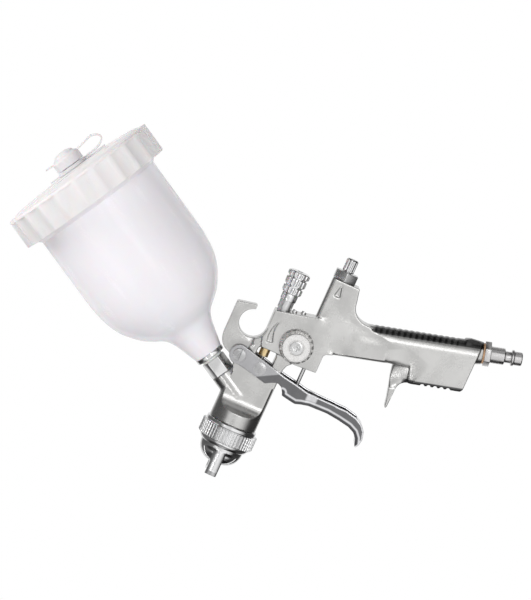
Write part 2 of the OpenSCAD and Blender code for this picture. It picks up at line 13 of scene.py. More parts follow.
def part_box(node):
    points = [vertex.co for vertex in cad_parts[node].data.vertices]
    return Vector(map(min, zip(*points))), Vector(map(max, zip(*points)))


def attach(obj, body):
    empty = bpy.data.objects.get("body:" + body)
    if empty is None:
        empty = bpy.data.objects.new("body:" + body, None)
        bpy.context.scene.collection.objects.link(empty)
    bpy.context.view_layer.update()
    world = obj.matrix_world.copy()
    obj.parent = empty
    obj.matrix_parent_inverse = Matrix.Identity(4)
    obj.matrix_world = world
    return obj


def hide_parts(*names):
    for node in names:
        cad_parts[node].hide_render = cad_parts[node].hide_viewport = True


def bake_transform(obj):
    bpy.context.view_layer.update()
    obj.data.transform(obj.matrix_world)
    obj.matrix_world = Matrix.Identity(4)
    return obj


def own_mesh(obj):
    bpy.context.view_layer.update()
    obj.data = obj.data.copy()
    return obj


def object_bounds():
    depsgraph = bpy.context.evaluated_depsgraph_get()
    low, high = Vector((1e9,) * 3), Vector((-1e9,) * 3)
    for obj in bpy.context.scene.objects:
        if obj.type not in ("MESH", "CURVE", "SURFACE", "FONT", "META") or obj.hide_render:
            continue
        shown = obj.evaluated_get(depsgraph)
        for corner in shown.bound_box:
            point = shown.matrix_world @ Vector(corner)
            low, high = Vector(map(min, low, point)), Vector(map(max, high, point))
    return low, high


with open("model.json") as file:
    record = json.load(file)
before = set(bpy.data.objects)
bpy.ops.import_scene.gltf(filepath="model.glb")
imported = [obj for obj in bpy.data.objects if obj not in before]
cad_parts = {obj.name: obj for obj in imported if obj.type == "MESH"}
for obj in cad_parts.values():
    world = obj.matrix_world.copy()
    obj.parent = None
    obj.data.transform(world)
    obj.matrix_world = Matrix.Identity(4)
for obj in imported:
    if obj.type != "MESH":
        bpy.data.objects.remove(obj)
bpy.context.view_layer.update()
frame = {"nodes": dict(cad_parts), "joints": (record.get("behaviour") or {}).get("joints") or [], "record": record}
MM = 0.001
JOINTS = {j["name"]: j for j in frame["joints"]}
SCENE = bpy.context.scene
GRIP_FOOT = (141.5, -126.5)     # lower end of the grip's spine, in X and Z
RAKE = math.radians(15)         # how far the grip leans back


# ---------------------------------------------------------------- camera

PHOTO_SIZE = (531, 600)
PX_PER_MM = 1.57            # scale of the photograph at the gun's centre plane
FOCAL_PX = 2700.0           # a long lens
ROLL = math.radians(65.9)   # the gun lies over on its back in the picture
DIP = math.radians(6.8)     # the camera looks down a little, in the picture's own upright
CENTRE = Vector((0.109, 0.0, 0.013))
SENSOR_MM = 36.0


def make_camera():
    """A long-lens camera, square on to the gun's side and rolled as the photograph is."""
    right = Vector((math.cos(ROLL), 0, -math.sin(ROLL)))
    up = Vector((math.sin(ROLL), 0, math.cos(ROLL)))
    ahead = Vector((0, 1, 0)) * math.cos(DIP) - up * math.sin(DIP)
    up = up * math.cos(DIP) + Vector((0, 1, 0)) * math.sin(DIP)
    data = bpy.data.cameras.new("camera")
    data.sensor_width = SENSOR_MM
    data.lens = FOCAL_PX / max(PHOTO_SIZE) * SENSOR_MM
    data.clip_start, data.clip_end = 0.05, 20.0
    camera = bpy.data.objects.new("camera", data)
    camera.matrix_world = Matrix((right, up, -ahead)).transposed().to_4x4()
    camera.location = CENTRE - ahead * FOCAL_PX / PX_PER_MM * MM
    SCENE.collection.objects.link(camera)
    SCENE.camera = camera


# ---------------------------------------------------------------- materials


def math_node(tree, operation, a, b):
    """A sum over two values, each a number or another node's output."""
    node = tree.nodes.new("ShaderNodeMath")
    node.operation = operation
    for socket, value in zip(node.inputs, (a, b)):
        if isinstance(value, float):
            socket.default_value = value
        else:
            tree.links.new(value, socket)
    return node.outputs["Value"]


class Shader:
    """One Principled material, with short ways to add nodes. Lengths are in millimetres."""

    def __init__(self, name, color, metallic=0.0, roughness=0.5, **sockets):
        self.material = bpy.data.materials.new(name)
        self.material.use_nodes = True
        self.tree = self.material.node_tree
        self.surface = self.tree.nodes["Principled BSDF"]
        self.set("Base Color", (*color, 1.0))
        self.set("Metallic", metallic)
        self.set("Roughness", roughness)
        for socket, value in sockets.items():
            self.set(socket.replace("_", " "), value)
        self.coordinates = self.add("ShaderNodeTexCoord").outputs["Object"]
        self.height = None

    def add(self, kind, **inputs):
        node = self.tree.nodes.new(kind)
        for socket, value in inputs.items():
            node.inputs[socket].default_value = value
        return node

    def link(self, source, target):
        self.tree.links.new(source, target)

    def set(self, socket, value):
        self.surface.inputs[socket].default_value = value

    def space(self, stretch=(1, 1, 1), turn=(0, 0, 0), move=(0, 0, 0)):
        """Object coordinates in millimetres, squeezed by stretch after turning."""
        turned = self.add("ShaderNodeMapping", Rotation=turn, Location=[-c for c in move])
        self.link(self.coordinates, turned.inputs["Vector"])
        scaled = self.add("ShaderNodeMapping", Scale=[s / MM for s in stretch])
        self.link(turned.outputs["Vector"], scaled.inputs["Vector"])
        return scaled.outputs["Vector"]

    def noise(self, size, detail=3.0, **space):
        node = self.add("ShaderNodeTexNoise", Scale=1 / size, Detail=detail, Roughness=0.55)
        self.link(self.space(**space), node.inputs["Vector"])
        return node.outputs["Fac"]

    def dots(self, size):
        node = self.add("ShaderNodeTexVoronoi", Scale=1 / size)
        self.link(self.space(), node.inputs["Vector"])
        return node.outputs["Distance"]

    def remap(self, source, low, high, start=0.3, end=0.7):
        node = self.add("ShaderNodeMapRange", **{
            "From Min": start, "From Max": end, "To Min": low, "To Max": high})
        self.link(source, node.inputs["Value"])
        return node.outputs["Result"]

    def math(self, operation, a, b):
        return math_node(self.tree, operation, a, b)

    def tint(self, factor, dark, light):
        """Base colour that drifts between two colours."""
        ramp = self.add("ShaderNodeValToRGB")
        for element, colour in zip(ramp.color_ramp.elements, (dark, light)):
            element.color = (*colour, 1.0)
        self.link(factor, ramp.inputs["Fac"])
        self.link(ramp.outputs["Color"], self.surface.inputs["Base Color"])

    def beyond(self, point, direction, width):
        """0 to 1 across a flat boundary at a point, along a direction; all in millimetres."""
        length = Vector(direction).length
        dot = self.add("ShaderNodeVectorMath")
        dot.operation = "DOT_PRODUCT"
        dot.inputs[1].default_value = [c / length for c in direction]
        self.link(self.space(move=[c * MM for c in point]), dot.inputs[0])
        return self.remap(dot.outputs["Value"], 0.0, 1.0, -width / 2, width / 2)

    def gloss(self, factor, low, high, start=0.3, end=0.7):
        self.link(self.remap(factor, low, high, start, end), self.surface.inputs["Roughness"])

    def bump(self, source, depth):
        """Adds a bump of that depth in millimetres to the ones before it."""
        node = self.add("ShaderNodeBump", Strength=1.0, Distance=depth * MM)
        self.link(source, node.inputs["Height"])
        if self.height is not None:
            self.link(self.height, node.inputs["Normal"])
        self.height = node.outputs["Normal"]
        self.link(self.height, self.surface.inputs["Normal"])


SPINE_PAINTED_DARK = 3.7        # how far the painted dark reflection of the grip's spine comes round its sides
SPINE_TOP = (120.5, 0, -57.5)                       # where it begins, under the tail
TOE_EDGE, TOE_TOP = (107.2, 0, -116), (0, 0, -88)   # the notched edge's painted dark reflection: its side and its top


def cast_metal():
    """Blasted and satin plated alloy: a fine grain, cloudy gloss and long polishing lines, with painted dark
    reflections on the grip's spine and notched edge.
    """
    s = Shader("cast_satin", (0.74, 0.73, 0.71), metallic=1.0, roughness=0.28)
    cloud = s.noise(14.0, detail=5.0)
    grain = s.noise(0.35, detail=2.0)
    # The grip's spine and its notched front edge face away from the light and get a painted dark reflection
    back = Vector((math.cos(RAKE), 0, math.sin(RAKE)))
    down_grip = (math.sin(RAKE), 0, -math.cos(RAKE))
    spine_side = (GRIP_FOOT[0] - SPINE_PAINTED_DARK, 0, GRIP_FOOT[1] - 1.0)
    spine = s.math("MULTIPLY", s.beyond(spine_side, back, 0.5), s.beyond(SPINE_TOP, down_grip, 3.0))
    toe = s.math("MULTIPLY", s.beyond(TOE_EDGE, -back, 0.5), s.beyond(TOE_TOP, (0, 0, -1), 2.0))
    dark = s.math("MULTIPLY", s.math("MAXIMUM", spine, toe), 0.8)
    clean = s.remap(cloud, 0.86, 1.0)
    # the near-black end of this tint shows only under the painted dark reflection; the cloud alone gives the
    # alloy's own uneven tone
    s.tint(s.math("SUBTRACT", clean, dark), (0.03, 0.03, 0.032), (0.64, 0.636, 0.625))
    s.gloss(s.math("ADD", cloud, s.math("MULTIPLY", grain, 0.35)), 0.2, 0.32, 0.5, 0.85)
    s.bump(s.noise(2.4, detail=4.0), 0.02)
    s.bump(grain, 0.008)
    s.bump(s.noise(0.5, detail=3.0, stretch=(0.06, 1, 1)), 0.005)
    return s.material


def dial_metal():
    """The spread dial: polished, with the pocked skin of a fine casting."""
    s = Shader("dial_cast", (0.74, 0.73, 0.72), metallic=1.0, roughness=0.25)
    pocks = s.dots(0.9)
    stain = s.noise(3.0, detail=4.0)
    s.tint(s.remap(pocks, 0.0, 1.0, 0.05, 0.4), (0.62, 0.61, 0.6), (0.86, 0.85, 0.84))
    s.gloss(stain, 0.2, 0.34)
    s.bump(pocks, 0.03)
    return s.material


def turned_metal(name, color, low, high, axis=(0, 0, 0)):
    """Bright turned metal: fine tool lines round the axis and faint smears."""
    s = Shader(name, color, metallic=1.0, roughness=low)
    lines = s.noise(0.12, detail=2.0, stretch=(1, 0.04, 0.04), turn=axis)
    smear = s.noise(5.0, detail=4.0)
    s.tint(s.remap(smear, 0.0, 1.0), tuple(c * 0.93 for c in color), color)
    s.gloss(s.math("ADD", smear, s.math("MULTIPLY", lines, 0.4)), low, high, 0.5, 0.9)
    s.bump(lines, 0.004)
    return s.material


def trigger_metal():
    """Polished, glossy plate with painted reflections: painted lighter round the pivot, painted dark on the
    blade's flanks, painted highlights along its edges.
    """
    s = Shader("trigger_polish", (0.6, 0.6, 0.62), metallic=1.0, roughness=0.2)
    streak = s.noise(0.8, detail=4.0, stretch=(1, 1, 0.06))
    smear = s.noise(8.0, detail=5.0)
    # the point attribute carries the painted reflection, which sets this colour between near black and near white
    reflection_paint = s.add("ShaderNodeAttribute")
    reflection_paint.attribute_name = "painted_reflection"
    bright = s.math("MULTIPLY", reflection_paint.outputs["Fac"], s.remap(smear, 0.85, 1.0))
    s.tint(bright, (0.02, 0.02, 0.023), (0.9, 0.9, 0.92))
    s.gloss(s.math("ADD", smear, s.math("MULTIPLY", streak, 0.4)), 0.1, 0.22, 0.5, 0.9)
    s.bump(streak, 0.004)
    s.bump(s.noise(10.0, detail=2.0), 0.04)
    return s.material


def brass_metal():
    s = Shader("brass_turned", (0.86, 0.66, 0.36), metallic=1.0, roughness=0.25)
    lines = s.noise(0.15, detail=2.0, stretch=(1, 0.05, 0.05))
    stain = s.noise(3.0, detail=4.0)
    s.tint(s.remap(stain, 0.0, 1.0), (0.74, 0.54, 0.28), (0.9, 0.72, 0.42))
    s.gloss(stain, 0.2, 0.38)
    s.bump(lines, 0.006)
    return s.material


def milky_plastic(name, color, roughness, grain, subsurface):
    """Moulded polyethylene: light goes in, the skin is satin with faint flow marks."""
    s = Shader(name, color, roughness=roughness, Subsurface_Weight=subsurface,
               Subsurface_Scale=0.004, Specular_IOR_Level=0.4)
    flow = s.noise(18.0, detail=4.0, stretch=(1, 1, 0.25), turn=(0, math.radians(-30), 0))
    s.tint(s.remap(flow, 0.0, 1.0), tuple(c * 0.965 for c in color), color)
    skin = s.noise(grain, detail=3.0)
    uneven = s.math("ADD", flow, s.math("MULTIPLY", skin, 0.3))
    s.gloss(uneven, roughness - 0.07, roughness + 0.08, 0.5, 0.8)
    s.bump(skin, 0.012)
    s.bump(s.noise(9.0, detail=2.0), 0.06)
    return s.material


def washer_fibre():
    s = Shader("washer_fibre", (0.5, 0.3, 0.18), roughness=0.8)
    fibre = s.noise(0.4, detail=5.0, stretch=(1, 1, 0.3))
    s.tint(s.remap(fibre, 0.0, 1.0), (0.4, 0.23, 0.13), (0.58, 0.37, 0.22))
    s.bump(fibre, 0.03)
    return s.material


CAST = cast_metal()
DIAL = dial_metal()
CHROME = turned_metal("chrome_turned", (0.86, 0.86, 0.865), 0.1, 0.24)
CAP = turned_metal("cap_polish", (0.8, 0.8, 0.805), 0.12, 0.26)
STEEL = turned_metal("steel_turned", (0.7, 0.7, 0.7), 0.2, 0.36)
PLUG = turned_metal("plug_steel", (0.66, 0.65, 0.65), 0.2, 0.38, axis=(0, math.radians(75), 0))
NECK = turned_metal("neck_polish", (0.76, 0.76, 0.76), 0.08, 0.2, axis=(0, math.radians(60), 0))
PIN = turned_metal("pin_steel", (0.5, 0.5, 0.505), 0.22, 0.4)
MACHINED = turned_metal("machined", (0.72, 0.72, 0.72), 0.25, 0.42)
TRIGGER = trigger_metal()
BRASS = brass_metal()
CUP = milky_plastic("cup_milky", (0.83, 0.79, 0.825), 0.2, 0.6, 0.25)
LID = milky_plastic("lid_milky", (0.79, 0.77, 0.775), 0.3, 0.5, 0.2)
SOFT = milky_plastic("vent_soft", (0.74, 0.72, 0.735), 0.35, 0.4, 0.2)
SEAL = milky_plastic("seal_plastic", (0.8, 0.8, 0.77), 0.45, 0.4, 0.1)
WASHER = washer_fibre()

SLOT_MATERIALS = {
    "cast": CAST, "machined": MACHINED, "bright": CHROME, "cap_metal": CAP,
    "trigger_metal": TRIGGER, "steel": STEEL, "spring_wire": STEEL, "brass": BRASS,
    "seal_plastic": SEAL, "washer": WASHER, "cup_plastic": CUP, "lid_plastic": LID,
    "soft_plastic": SOFT,
}
NODE_SLOT = {s["node"]: s["material_slot"] for s in frame["record"]["subparts"]}
NODE_BODY = {n: body for body, ns in frame["record"]["behaviour"]["bodies"].items() for n in ns}


def paint(piece, material):
    piece.data.materials.clear()
    piece.data.materials.append(material)


def paint_nodes():
    """Every carried-over CAD node gets its slot's material."""
    for name, node in frame["nodes"].items():
        paint(node, SLOT_MATERIALS[NODE_SLOT[name]])
    for name in ("cup_adapter", "cup_bush"):
        paint(frame["nodes"][name], NECK)
    paint(frame["nodes"]["air_inlet_plug"], PLUG)


# ---------------------------------------------------------------- mesh helpers

SHARP = math.radians(32)    # edges sharper than this stay crisp in the shading
WELD = 1e-6                 # points nearer than this, in metres, are one


@contextmanager
def editing(mesh):
    """The mesh opened for editing, with the points that coincide made one."""
    edit = bmesh.new()
    edit.from_mesh(mesh)
    bmesh.ops.remove_doubles(edit, verts=edit.verts, dist=WELD)
    yield edit
    edit.to_mesh(mesh)
    edit.free()


def finish_piece(name, mesh, node, material, sharp=SHARP, rides=True):
    """Puts a mesh in the scene in place of a CAD node, on the node's own body if it rides."""
    piece = bpy.data.objects.new(name, mesh)
    SCENE.collection.objects.link(piece)
    mesh.shade_smooth()
    mesh.set_sharp_from_angle(angle=sharp)
    paint(piece, material)
    if rides:
        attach(piece, NODE_BODY[node])
    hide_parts(node)
    return piece


def along(direction, origin=(0, 0, 0)):
    """A place whose Z runs along direction, with its X kept in the gun's flat plane."""
    z = Vector(direction).normalized()
    y = Vector((0, 1, 0)) if abs(z.y) < 0.9 else Vector((0, 0, 1))
    x = y.cross(z).normalized()
    y = z.cross(x)
    return Matrix.Translation(Vector(origin)) @ Matrix((x, y, z)).transposed().to_4x4()


def joint_place(name):
    joint = JOINTS[name]
    return along(joint["axis"], joint.get("pos_m", (0, 0, 0)))


def vertex_array(mesh):
    points = np.empty(len(mesh.vertices) * 3)
    mesh.vertices.foreach_get("co", points)
    return points.reshape(-1, 3)


def reach(node, place):
    """Where a node begins and ends along a place's Z, and its largest radius, in millimetres."""
    turn = np.array(place.inverted())
    points = (vertex_array(frame["nodes"][node].data) @ turn[:3, :3].T + turn[:3, 3]) / MM
    return points[:, 2].min(), points[:, 2].max(), np.hypot(points[:, 0], points[:, 1]).max()


def mesh_at(name, place, points, faces):
    """A mesh whose points are given in millimetres from a place."""
    mesh = bpy.data.meshes.new(name)
    mesh.from_pydata([tuple(place @ (Vector(p) * MM)) for p in points], [], faces)
    return mesh


def lathe(name, rows, place, node, material, segments, ripple=None, closed=True, sharp=SHARP):
    """Turns rows of (along, radius, tooth) in millimetres round a place's Z.

    ripple(angle) gives 0 to 1, and each row's radius loses its tooth times that."""
    angles = np.arange(segments) * 2 * math.pi / segments
    wave = np.array([ripple(a) for a in angles]) if ripple else np.zeros(segments)
    points = []
    for row in rows:
        at, radius = row[0], row[1]
        tooth = row[2] if len(row) > 2 else 0.0
        r = np.maximum(radius - tooth * wave, 0.0)
        points += list(zip(r * np.cos(angles), r * np.sin(angles), np.full(segments, at)))
    count = len(rows)
    faces = []
    for i in range(count if closed else count - 1):
        j = (i + 1) % count
        for k in range(segments):
            n = (k + 1) % segments
            faces.append((i * segments + k, i * segments + n, j * segments + n, j * segments + k))
    mesh = mesh_at(name, place, points, faces)
    with editing(mesh) as edit:
        bmesh.ops.recalc_face_normals(edit, faces=edit.faces)
    return finish_piece(name, mesh, node, material, sharp)


def smooth_line(points, steps):
    """A Catmull-Rom curve through the points."""
    points = [np.array(p, float) for p in points]
    padded = [2 * points[0] - points[1], *points, 2 * points[-1] - points[-2]]
    line = []
    for i in range(1, len(padded) - 2):
        a, b, c, d = padded[i - 1:i + 3]
        for k in range(steps):
            t = k / steps
            line.append(0.5 * (2 * b + (c - a) * t + (2 * a - 5 * b + 4 * c - d) * t * t
                               + (3 * b - a - 3 * c + d) * t ** 3))
    line.append(padded[-2])
    return line


def softened_mesh(node, voxel, passes):
    """The node's solid with its edges rounded: remeshed in small cells, then smoothed."""
    mesh = frame["nodes"][node].data.copy()
    with editing(mesh):
        pass    # opening it welds it
    piece = bpy.data.objects.new("soften", mesh)
    SCENE.collection.objects.link(piece)
    skin = piece.modifiers.new("skin", "REMESH")
    skin.mode = "VOXEL"
    skin.voxel_size = voxel * MM
    ease = piece.modifiers.new("ease", "SMOOTH")
    ease.factor = 0.5
    ease.iterations = passes
    graph = bpy.context.evaluated_depsgraph_get()
    result = bpy.data.meshes.new_from_object(piece.evaluated_get(graph))
    bpy.data.objects.remove(piece)
    bpy.data.meshes.remove(mesh)
    return result


def soften(node, name, material, voxel, passes, shape=None):
    """A softened copy of a cast or moulded node, with its points then moved by shape."""
    mesh = softened_mesh(node, voxel, passes)
    if shape:
        mesh.vertices.foreach_set("co", shape(mesh, vertex_array(mesh)).ravel())
    return finish_piece(name, mesh, node, material, math.radians(60))


def crisp(node, name, material, width):
    """A copy of a machined node with its flat faces made whole and its edges chamfered."""
    mesh = frame["nodes"][node].data.copy()
    mesh.name = name
    flat, corner = math.radians(1), math.radians(25)
    with editing(mesh) as edit:
        bmesh.ops.dissolve_limit(edit, angle_limit=flat, verts=edit.verts, edges=edit.edges)
        edges = [e for e in edit.edges if len(e.link_faces) == 2 and e.calc_face_angle() > corner]
        bmesh.ops.bevel(edit, geom=edges, offset=width * MM, segments=2, profile=0.5,
                        affect="EDGES", clamp_overlap=True)
    return finish_piece(name, mesh, node, material, math.radians(40))


def smooth_step(low, high, value):
    t = np.clip((value - low) / (high - low), 0, 1)
    return t * t * (3 - 2 * t)


def inside(points, outline):
    """Which points lie inside an outline drawn in X and Z, in millimetres."""
    x, z = points[:, 0] / MM, points[:, 2] / MM
    hit = np.zeros(len(points), bool)
    for (x0, z0), (x1, z1) in zip(outline, outline[1:] + outline[:1]):
        if z0 != z1:
            hit ^= ((z0 > z) != (z1 > z)) & (x < x0 + (z - z0) * (x1 - x0) / (z1 - z0))
    return hit


# ---------------------------------------------------------------- pieces

# Where the block, the valve's housing and the grip run into one another, then the roots of the
# hook and of the finger guard, as outlines in X and Z
TAIL_BLEND, HOOK_BLEND, GUARD_BLEND = [
    [(96, -24), (108, -22), (120, -25), (127, -27), (127, -36.5), (119.5, -41), (117.3, -50),
     (119, -62), (116, -76), (107, -76), (98.8, -48), (96.2, -42), (94.6, -36.5), (92, -32)],
    [(69, 7), (79.5, 7), (83, 10), (82.5, 17), (84, 27), (74, 25), (67.5, 15)],
    [(112, -69), (103, -72.5), (102.5, -76), (97.3, -78.2), (90.5, -81), (90.5, -84.5),
     (95.5, -88), (97, -92), (100.5, -94.2), (114.5, -99), (118.5, -82)],
]
RIB_PITCH, RIB_DEPTH = 3.8, 0.36
BOSS_OUT = 2.2                      # how far the air inlet's boss stands out of the spine
HOLLOW_DEPTH = 0.35
HOLLOW_UP, HOLLOW_BACK = 69, -7.5   # the hollow's middle, up the grip and back from its spine
HOLLOW_HALF = (15, 5)               # and how far it runs each way


def ease_sides(mesh, points, outline, rounds, least, axes=(1,)):
    """Lets the casting's faces flow into one another across the steps inside an outline.

    Points nearer to the gun's flat plane than least stay, and so do those outside."""
    area = inside(points, outline) & (np.abs(points[:, 1]) > least * MM)
    edges = np.empty(len(mesh.edges) * 2, int)
    mesh.edges.foreach_get("vertices", edges)
    edges = edges.reshape(-1, 2)
    here = np.concatenate([edges[:, 0], edges[:, 1]])
    there = np.concatenate([edges[:, 1], edges[:, 0]])
    used = area[here]
    near, back = np.unique(np.concatenate([here[used], there[used]]), return_inverse=True)
    here, there = back[:used.sum()], back[used.sum():]
    moves = area[near]
    count = np.bincount(here, minlength=len(near))
    for axis in axes:
        across = points[near, axis]
        for _ in range(rounds):
            mean = np.bincount(here, weights=across[there], minlength=len(near))
            across[moves] = mean[moves] / count[moves]
        points[near, axis] = across


def shape_body(mesh, points):
    """Blends the casting's faces, then adds the grip's ribs and thumb hollows."""
    ease_sides(mesh, points, TAIL_BLEND, 1600, 5.0)
    ease_sides(mesh, points, HOOK_BLEND, 500, 3.4)
    ease_sides(mesh, points, GUARD_BLEND, 2200, 3.0)
    ease_sides(mesh, points, GUARD_BLEND, 6, 3.0, axes=(0, 1, 2))
    x, y, z = points.T / MM
    dx, dz = x - GRIP_FOOT[0], z - GRIP_FOOT[1]
    back = dx * math.cos(RAKE) + dz * math.sin(RAKE)
    up = dz * math.cos(RAKE) - dx * math.sin(RAKE)
    # The air inlet's boss grows out of the grip's spine, which has ribs across it
    bulge = np.maximum(back - BOSS_OUT * smooth_step(17, 3, up), 0) * (up < 40)
    wave = (0.5 + 0.5 * np.cos(2 * math.pi * up / RIB_PITCH)) ** 1.5
    ribbed = smooth_step(-5, -2.5, back) * smooth_step(15, 18, up) * smooth_step(74, 71, up)
    depth = RIB_DEPTH * wave * ribbed + bulge
    # A thumb hollow on each side, just under the tail
    away = np.hypot((up - HOLLOW_UP) / HOLLOW_HALF[0], (back - HOLLOW_BACK) / HOLLOW_HALF[1])
    hollow = HOLLOW_DEPTH * smooth_step(1, 0, away) * np.sign(y) * (np.abs(y) > 6)
    points[:, 0] -= depth * math.cos(RAKE) * MM
    points[:, 2] -= depth * math.sin(RAKE) * MM
    points[:, 1] -= hollow * MM
    return points


TRIGGER_FRONT = [(60.4, -20.2), (58.3, -21), (57.4, -26), (56.7, -30.6), (58, -34.4), (59, -39),
                 (59.3, -52), (58.4, -60), (57, -68), (55, -72.4), (52, -75), (47.6, -76.5)]
TRIGGER_BACK = [(46.6, -77.4), (49, -79), (53, -79.7), (58, -78.4), (61.6, -75.4), (64.4, -70.2),
                (66, -63), (66.4, -45), (66.7, -35), (68.5, -27), (70, -18), (71.5, -12)]
# The upper plate's painted lighter reflection ends at a line through this point, square to this direction
PLATE_END, PLATE_WAY = np.array((61, 2)), np.array((-17, -9.5))


def distance_to(points, line):
    """Distance in millimetres from a line drawn in X and Z."""
    spot = points[:, [0, 2]] / MM
    nearest = np.full(len(spot), 1e9)
    for a, b in zip(np.array(line[:-1], float), np.array(line[1:], float)):
        t = np.clip((spot - a) @ (b - a) / ((b - a) @ (b - a)), 0, 1)
        nearest = np.minimum(nearest, np.linalg.norm(spot - a - t[:, None] * (b - a), axis=1))
    return nearest


# Painted reflection on the trigger's flanks, by distance from its front edge: painted dark, a painted highlight
# stripe, then painted dark again
FLANK_PAINTED_REFLECTION = [(0, 0.08), (1.7, 0.1), (2.2, 0.95), (2.9, 0.95), (3.4, 0.2), (9, 0.2)]


def shape_trigger(mesh, points):
    """The blade narrows below its bend; its flanks get painted dark reflections and its edges painted highlights.
    """
    x, y, z = points.T / MM
    front, back = distance_to(points, TRIGGER_FRONT), distance_to(points, TRIGGER_BACK)
    # Painted reflection per point: painted highlights across the bend and along the back edge, the upper plate
    # painted lighter, the front and inner faces painted light
    painted_reflection = np.interp(front, *zip(*FLANK_PAINTED_REFLECTION))
    bend = smooth_step(-34.5, -36.5, z) * smooth_step(-44, -42, z) * smooth_step(2.4, 4, front)
    painted_reflection = np.maximum(painted_reflection, 0.8 * bend)
    painted_reflection = np.where(back < 0.9, 0.95, painted_reflection)
    past = (points[:, [0, 2]] / MM - PLATE_END) @ PLATE_WAY / np.linalg.norm(PLATE_WAY)
    upper = smooth_step(0.4, -0.4, past)
    painted_reflection = np.maximum(painted_reflection, 0.58 * upper)
    painted_reflection = np.where(np.abs(y) < 8.1, 0.85, painted_reflection)
    mesh.attributes.new("painted_reflection", "FLOAT", "POINT").data.foreach_set("value", painted_reflection.astype(np.float32))
    points[:, 1] *= 1 - 0.11 * smooth_step(-36, -43, z)
    return points


def shape_cap(mesh, points):
    """Rounds the horns' outer faces."""
    x, y, z = points.T / MM
    horn = smooth_step(7.5, 9, np.abs(y)) * smooth_step(11, 8, x)
    points[:, 1] *= 1 - 0.1 * horn * np.clip(z / 3.75, -1, 1) ** 2
    return points


def knurl(teeth):
    """Flat-topped teeth: 0 on the tooth, 1 in the groove."""
    def wave(angle):
        t = (angle * teeth / (2 * math.pi)) % 1.0
        return min(max((abs(t - 0.5) * 2 - 0.35) / 0.4, 0.0), 1.0)
    return wave


def knurl_rows(start, end, radius, bands, depth, nick):
    """Rows of a knurled band, nicked into rings of short teeth."""
    pitch = (end - start) / bands
    floor = radius - depth
    rows = [(start - 0.15, floor, 0.0), (start, floor, 0.0)]
    for i in range(bands):
        a, b = start + pitch * i, start + pitch * (i + 1)
        rows += [(a + pitch * 0.05, radius - nick, depth - nick), (a + pitch * 0.2, radius, depth),
                 (b - pitch * 0.2, radius, depth), (b - pitch * 0.05, radius - nick, depth - nick)]
    return rows + [(end, floor, 0.0)]


def make_cap_ring():
    place = joint_place("cap_ring_turn")
    low, high, radius = reach("air_cap_ring", place)
    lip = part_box("air_cap")[1].y / MM + 0.1
    rows = [
        (low, 14.6), (low, 15.0), (low + 0.4, 15.4), (low + 2.2, 16.5),
        (low + 2.9, 16.6), (low + 3.1, 17.2), (low + 3.4, radius - 0.7),
    ]
    rows += knurl_rows(low + 3.6, low + 12.6, radius, 4, 0.9, 0.35)
    rows += [
        (low + 12.8, radius - 0.9), (low + 13.0, 17.0), (low + 13.3, 16.8),
        (high - 0.4, 16.8), (high, 16.4), (high, 14.5),
        (low + 1.2, lip), (low + 0.9, 14.55),
    ]
    return lathe("cap_ring_knurled", rows, place, "air_cap_ring", CHROME, 52 * 8, knurl(52))


def make_fluid_knob():
    place = joint_place("fluid_stop_turn")
    low, high, radius = reach("fluid_knob", place)
    rows = [(low, 4.9), (low, 5.9), (low + 0.1, 6.0)]
    rows += knurl_rows(low + 0.3, low + 4.3, 6.6, 1, 0.6, 0.2)
    rows += [(low + 4.5, 5.5), (low + 5.2, 5.5)]
    rows += knurl_rows(low + 5.5, low + 10.1, 6.95, 1, 0.65, 0.2)
    rows += [(low + 10.4, 5.9), (low + 11.0, 5.9)]
    rows += knurl_rows(low + 11.3, high - 0.7, radius, 1, 0.7, 0.2)
    rows += [(high - 0.5, radius - 0.7), (high - 0.1, radius - 1.1), (high, radius - 1.5),
             (high, 2.2), (high - 0.6, 1.6), (high - 0.6, 0.0)]
    rows += [(low + 9.0, 0.0), (low + 9.0, 4.9), (low + 0.5, 4.9)]
    return lathe("fluid_knob_knurled", rows, place, "fluid_knob", CHROME, 14 * 14, knurl(14))


def make_micrometer():
    place = joint_place("micrometer_turn")
    low, high, radius = reach("air_micrometer", place)
    head = high - 8.7
    rows = [(low, 0.0), (low, 2.0), (low + 0.2, 2.2), (head, 2.2), (head, 3.5),
            (head + 0.4, radius, 0.0), (head + 0.9, radius, 0.55),
            (high - 1.1, radius, 0.55), (high - 0.6, radius - 0.1, 0.0),
            (high, radius - 0.7), (high, 1.0), (high - 0.5, 0.7), (high - 0.5, 0.0)]
    return lathe("air_adjuster_knurled", rows, place, "air_micrometer", CHROME, 9 * 16, knurl(9),
                 closed=False)


def make_cup():
    place = joint_place("cup_turn")
    low, high, _ = reach("paint_cup", place)
    wall = 1.8
    side = [(0, 9.6), (1.0, 9.9), (5.5, 11.2), (10.5, 12.6), (16.5, 14.6), (22, 18), (26.5, 24),
            (31, 29.5), (37, 34.3), (43, 38.1), (51, 41.1), (61.5, 42.9), (70.5, 43.4), (95, 43.5),
            (119, 43.5)]
    outer = [(low + a, r) for a, r in smooth_line(side, 6)]
    rim = [(low + 122.4, 47.2), (high - 0.3, 47.3), (high, 47.0),
           (high, 44.3), (high - 0.3, 44.0), (low + 124.5, 43.5)]
    inner = [(a, r - wall) for a, r in reversed(outer) if a > low + 10]
    inner += [(low + 5.5, 7.55), (low, 7.55)]
    return lathe("cup_wall", outer + rim + inner, place, "paint_cup", CUP, 144)


def scallop(count):
    """Wide hollow flutes with narrow ridges between: 0 on the ridge, 1 in the hollow."""
    def wave(angle):
        t = (angle * count / (2 * math.pi)) % 1.0
        return max(math.sin(math.pi * t) - 0.16, 0.0) / 0.84
    return wave


